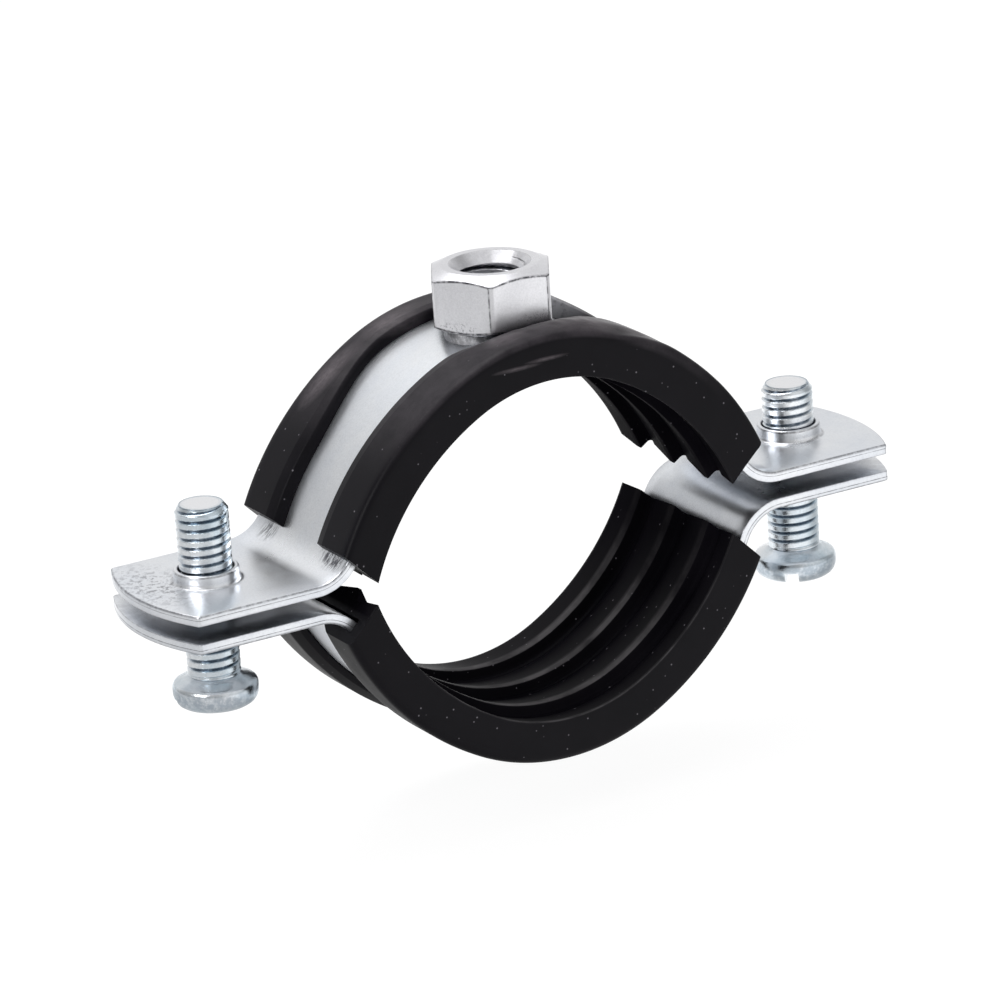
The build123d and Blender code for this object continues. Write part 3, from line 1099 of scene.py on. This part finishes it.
def stage_floor(height):
    """A wide white floor, white to the camera and softly shaded where the metal mirrors it."""
    half = floor_half_width
    corners = [(-half, -half, height), (half, -half, height), (half, half, height), (-half, half, height)]
    floor_piece = make_piece("floor", corners, [(0, 1, 2, 3)])
    material, nodes = new_material("floor_white")
    nodes.tree.nodes.clear()
    path = nodes.add("ShaderNodeLightPath")
    camera_ray = path.outputs["Is Camera Ray"]
    seen = nodes.math("MAXIMUM", camera_ray, path.outputs["Is Glossy Ray"])
    matt = nodes.add("ShaderNodeBsdfDiffuse", {"Color": floor_matt})
    level = studio_level(nodes, nodes.own())
    shown = nodes.span(camera_ray, 0.0, 1.0, level, floor_brightness, smooth=False)
    glow = nodes.add("ShaderNodeEmission", {"Strength": shown})
    faint = nodes.add("ShaderNodeBsdfDiffuse", {"Color": floor_shadow})
    both = nodes.add("ShaderNodeAddShader", {0: glow.outputs[0], 1: faint.outputs[0]})
    choose = nodes.add("ShaderNodeMixShader", {0: seen, 1: matt.outputs[0], 2: both.outputs[0]})
    nodes.add("ShaderNodeOutputMaterial", {"Surface": choose.outputs[0]})
    floor_piece.data.materials.append(material)


def soft_lamp(name, place, target, size, power):
    """A square area lamp at a place in millimetres that looks at a target."""
    data = bpy.data.lights.new(name, "AREA")
    data.shape = "SQUARE"
    data.size = size * MM
    data.energy = power
    lamp = bpy.data.objects.new(name, data)
    lamp.location = Vector(place) * MM
    aim = Vector(target) - Vector(place)
    lamp.rotation_euler = aim.to_track_quat("-Z", "Y").to_euler()
    bpy.context.scene.collection.objects.link(lamp)


def surround():
    """A world that is white to the camera and lights the object like a studio with darker sides."""
    world = bpy.data.worlds.new("surround")
    world.use_nodes = True
    nodes = Nodes(world.node_tree)
    nodes.tree.nodes.clear()
    camera_ray = nodes.add("ShaderNodeLightPath").outputs["Is Camera Ray"]
    level = studio_level(nodes, nodes.add("ShaderNodeTexCoord").outputs["Generated"])
    light = nodes.add("ShaderNodeBackground", {"Color": studio_grey, "Strength": level})
    white = nodes.add("ShaderNodeBackground", {"Color": (1, 1, 1), "Strength": 1.0})
    choose = nodes.add("ShaderNodeMixShader", {0: camera_ray, 1: light.outputs[0], 2: white.outputs[0]})
    nodes.add("ShaderNodeOutputWorld", {"Surface": choose.outputs[0]})
    bpy.context.scene.world = world


# The clamp hangs from its rod, so the floor lies below the lower half when that is fully open
joints = {joint["name"]: joint for joint in frame["record"]["behaviour"]["joints"]}
opening_travel = -joints["lower_half_slide"]["range_m"][0] / MM
stage_floor(-lip_top - opening_travel - floor_gap)
surround()
soft_lamp("top_lamp", (-60, 120, 420), (0, 0, 0), 300, 1.1)
soft_lamp("left_lamp", (-420, -120, 220), (0, 0, 0), 220, 0.8)


# Camera: found by fitting the model's corners, rims and holes to the photograph

camera_azimuth = -29.28
camera_elevation = 18.73
camera_roll = 3.75
camera_distance = 670.5
camera_shift_x = 0.74
camera_shift_y = -2.61
camera_focal_mm = 215.7
camera_sensor_mm = 36.0


def place_camera():
    """Sets the camera at the photograph's viewing angle."""
    azimuth = radians(camera_azimuth)
    elevation = radians(camera_elevation)
    roll = radians(camera_roll)
    back = Vector((sin(azimuth) * cos(elevation), -cos(azimuth) * cos(elevation), sin(elevation)))
    right = Vector((cos(azimuth), sin(azimuth), 0))
    up = back.cross(right)
    turned_right = cos(roll) * right - sin(roll) * up
    turned_up = sin(roll) * right + cos(roll) * up
    place = back * camera_distance - turned_right * camera_shift_x - turned_up * camera_shift_y
    turn = Matrix((turned_right, turned_up, back)).transposed().to_4x4()
    data = bpy.data.cameras.new("camera")
    data.lens = camera_focal_mm
    data.sensor_width = camera_sensor_mm
    data.sensor_fit = "HORIZONTAL"
    data.clip_start = 0.05
    data.clip_end = 20
    camera = bpy.data.objects.new("camera", data)
    camera.matrix_world = Matrix.Translation(place * MM) @ turn
    bpy.context.scene.collection.objects.link(camera)
    bpy.context.scene.camera = camera


place_camera()
bpy.context.scene.view_settings.view_transform = "Standard"
